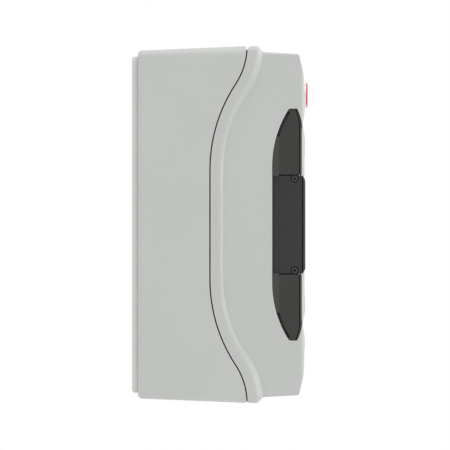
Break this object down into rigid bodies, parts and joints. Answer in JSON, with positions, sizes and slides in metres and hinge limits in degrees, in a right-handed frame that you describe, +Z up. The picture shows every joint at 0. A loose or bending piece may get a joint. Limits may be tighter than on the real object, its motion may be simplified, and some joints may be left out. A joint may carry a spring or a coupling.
{
  "type": "wall mounted soap dispenser",
  "caption": "Wall mounted push bar soap dispenser: tall pale housing, drop-down front cover with S-shaped seam, smoked side windows, dark push bar, lever and pump inside.",
  "frame": {"origin": "centre of the wall plate's back face, on the wall", "axes": "+Z up, +Y into the wall, the front faces -Y, +X to the right as seen from the front"},
  "size_m": [0.14, 0.1382, 0.28],
  "materials": {
    "housing_plastic": "fine moulded satin",
    "cover_plastic": "fine moulded satin",
    "plate_plastic": "moulded matt",
    "smoked_plastic": "polished smoked transparent",
    "bar_plastic": "fine moulded texture",
    "trim_plastic": "moulded matt",
    "seal_rubber": "matt extruded",
    "steel": "bright drawn",
    "spring_steel": "drawn wire",
    "zinc": "plated",
    "bottle_plastic": "translucent blow moulded",
    "soap": "clear liquid",
    "pump_plastic": "moulded satin",
    "roller_plastic": "natural nylon",
    "badge_red": "gloss",
    "badge_white": "gloss"
  },
  "bodies": {
    "housing": {"wall_plate": "plate_plastic", "rear_housing": "housing_plastic", "outlet_bezel": "trim_plastic", "hinge_pins": "steel", "lock_sleeve": "zinc", "chassis": "plate_plastic", "chassis_screws": "steel", "plate_screws": "steel", "refill_bottle": "bottle_plastic", "liquid_soap": "soap", "bottle_cap": "pump_plastic", "pump_barrel": "pump_plastic", "lever_pin": "steel"},
    "cover": {"front_cover": "cover_plastic", "cover_seal": "seal_rubber", "window_upper_right": "smoked_plastic", "window_lower_right": "smoked_plastic", "window_upper_left": "smoked_plastic", "window_lower_left": "smoked_plastic", "bar_bracket_right": "trim_plastic", "bar_bracket_left": "trim_plastic", "bracket_screws": "steel", "lock_catch": "zinc", "badge": "badge_white", "badge_ring": "badge_red", "badge_inlay": "badge_white"},
    "bar": {"push_bar": "bar_plastic", "push_pad": "bar_plastic", "pad_pins": "trim_plastic", "guide_posts": "steel", "return_springs": "spring_steel"},
    "lever": {"dose_lever": "trim_plastic", "roller_pin": "steel"},
    "roller": {"lever_roller": "roller_plastic"},
    "pump_head": {"pump_piston": "pump_plastic", "pump_collar": "pump_plastic", "nozzle": "pump_plastic", "pump_spring": "spring_steel"},
    "lock": {"lock_plug": "zinc", "lock_cam": "zinc", "lock_nut": "zinc"}
  },
  "joints": [
    {"name": "cover_hinge", "type": "hinge", "parent": "housing", "child": "cover", "pos_m": [0, -0.0926, -0.1376], "axis": [1, 0, 0], "range_deg": [0, 95]},
    {"name": "push_slide", "type": "slide", "parent": "cover", "child": "bar", "axis": [0, 1, 0], "range_m": [0, 0.01], "stiffness_N_per_m": 700, "springref_m": -0.012, "deforming": ["return_springs"]},
    {"name": "lever_pivot", "type": "hinge", "parent": "housing", "child": "lever", "pos_m": [0, -0.018, -0.0863], "axis": [-1, 0, 0], "range_deg": [0, 8.7]},
    {"name": "pump_slide", "type": "slide", "parent": "housing", "child": "pump_head", "axis": [0, 0, 1], "range_m": [0, 0.0046], "deforming": ["pump_spring"]},
    {"name": "roller_spin", "type": "hinge", "parent": "lever", "child": "roller", "pos_m": [0, -0.097, -0.025], "axis": [1, 0, 0], "continuous": true},
    {"name": "lock_turn", "type": "hinge", "parent": "housing", "child": "lock", "pos_m": [0, -0.078, 0.132], "axis": [0, 0, 1], "range_deg": [0, 90]}
  ],
  "couplings": [
    {"joint": "lever_pivot", "follows": "push_slide", "rad_per_m": 15.1},
    {"joint": "pump_slide", "follows": "push_slide", "ratio": 0.454}
  ]
}
